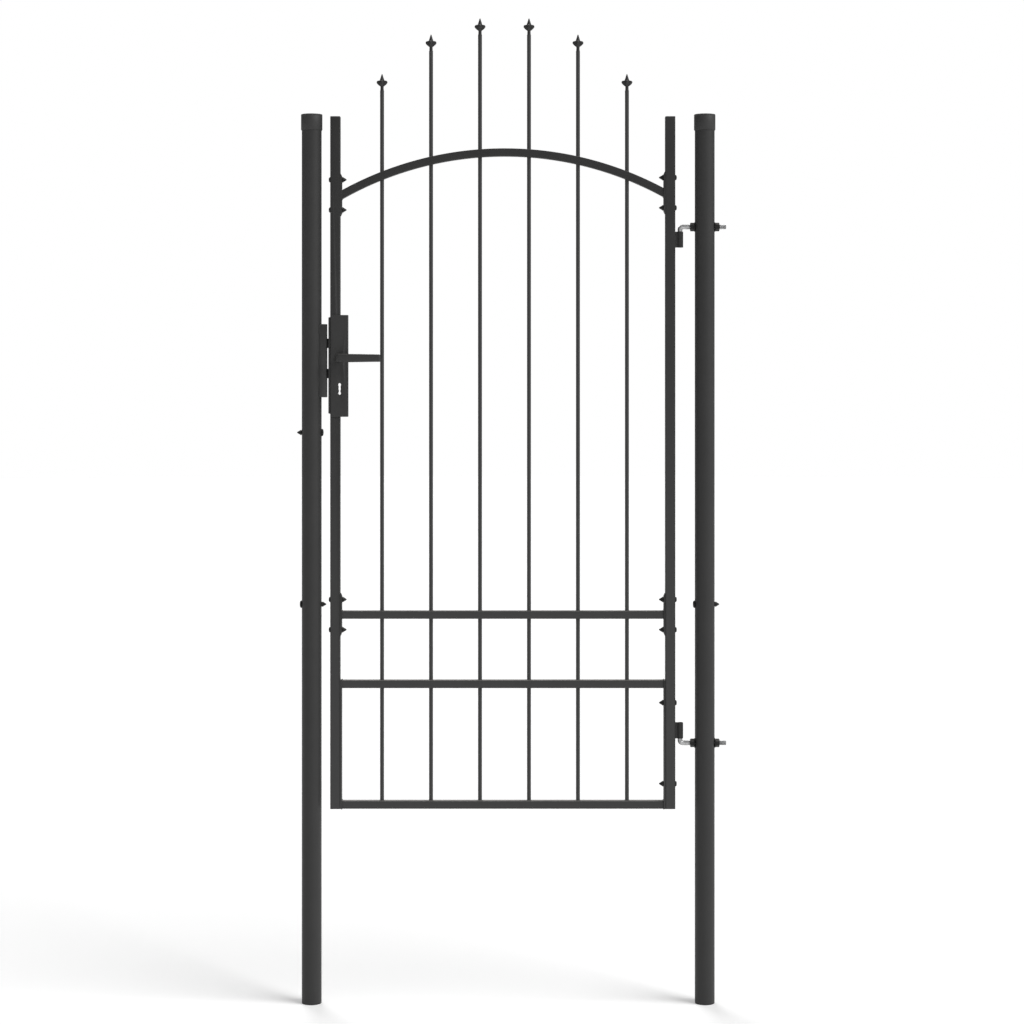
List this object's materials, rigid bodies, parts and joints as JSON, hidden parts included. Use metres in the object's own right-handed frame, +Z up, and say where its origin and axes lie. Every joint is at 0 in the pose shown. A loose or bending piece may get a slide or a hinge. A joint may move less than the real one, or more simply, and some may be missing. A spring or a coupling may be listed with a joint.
{
  "type": "garden gate",
  "caption": "Steel garden gate with an arched top rail and spear-pointed bars, hung on pintle hinges between two round capped posts, with a lever-handled mortise lock.",
  "frame": {"origin": "midway between the two posts, on the gate's middle plane, at the level of the posts' feet", "axes": "+X from the latch post to the hinge post, +Y from the front to the back, +Z up"},
  "size_m": [1.0862, 0.112, 2.4925],
  "materials": {
    "powder_coat": "satin charcoal-black powder coat with fine orange peel",
    "lock_paint": "satin black enamel on smooth pressed and cast lock furniture",
    "black_plastic": "fine-grained moulded black plastic",
    "black_hardware": "black coated bolts, washers and nuts",
    "zinc": "dull galvanised zinc",
    "lock_steel": "plain oiled steel"
  },
  "bodies": {
    "posts": {"latch_post": "powder_coat", "hinge_post": "powder_coat", "latch_post_cap": "black_plastic", "hinge_post_cap": "black_plastic", "post_bolts": "black_hardware", "post_bolt_nuts": "black_hardware", "keeper": "powder_coat", "upper_hinge_bolt": "zinc", "lower_hinge_bolt": "zinc", "hinge_washers": "black_hardware", "hinge_nuts": "black_hardware"},
    "leaf": {"latch_stile": "powder_coat", "hinge_stile": "powder_coat", "bottom_rail": "powder_coat", "lower_rail": "powder_coat", "upper_rail": "powder_coat", "arch_rail": "powder_coat", "arch_latch_plate": "powder_coat", "rail_latch_plate": "powder_coat", "arch_hinge_plate": "powder_coat", "rail_hinge_plate": "powder_coat", "latch_side_flat": "powder_coat", "hinge_side_flat": "powder_coat", "picket_1": "powder_coat", "picket_2": "powder_coat", "picket_3": "powder_coat", "picket_4": "powder_coat", "picket_5": "powder_coat", "picket_6": "powder_coat", "finial_1": "powder_coat", "finial_2": "powder_coat", "finial_3": "powder_coat", "finial_4": "powder_coat", "finial_5": "powder_coat", "finial_6": "powder_coat", "upper_hinge_barrel": "powder_coat", "lower_hinge_barrel": "powder_coat", "lock_housing": "powder_coat", "front_lock_plate": "lock_paint", "back_lock_plate": "lock_paint", "forend": "lock_paint", "latch_stile_plug": "black_plastic", "hinge_stile_plug": "black_plastic", "frame_bolts": "black_hardware", "frame_bolt_nuts": "black_hardware", "lock_case": "lock_steel", "lock_case_lid": "lock_steel", "latch_spring": "lock_steel", "forend_screws": "lock_steel", "lock_plate_screws": "lock_steel"},
    "handle": {"front_handle": "lock_paint", "back_handle": "lock_paint", "spindle": "lock_steel", "follower": "lock_steel", "handle_grub_screws": "lock_steel"},
    "latch": {"latch_bolt": "black_hardware"},
    "dead_bolt": {"deadbolt": "black_hardware"}
  },
  "joints": [
    {"name": "gate_swing", "type": "hinge", "parent": "posts", "child": "leaf", "pos_m": [0.4349, 0, 1.311], "axis": [0, 0, 1], "range_deg": [-100, 100]},
    {"name": "handle_turn", "type": "hinge", "parent": "leaf", "child": "handle", "pos_m": [-0.4268, 0, 1.6321], "axis": [0, 1, 0], "range_deg": [0, 40], "stiffness_Nm_per_rad": 1.2, "springref_deg": -22.92},
    {"name": "latch_slide", "type": "slide", "parent": "leaf", "child": "latch", "axis": [1, 0, 0], "range_m": [0, 0.011], "deforming": ["latch_spring"]},
    {"name": "deadbolt_slide", "type": "slide", "parent": "leaf", "child": "dead_bolt", "axis": [1, 0, 0], "range_m": [0, 0.011]}
  ],
  "couplings": [
    {"joint": "latch_slide", "follows": "handle_turn", "m_per_rad": 0.01575}
  ]
}
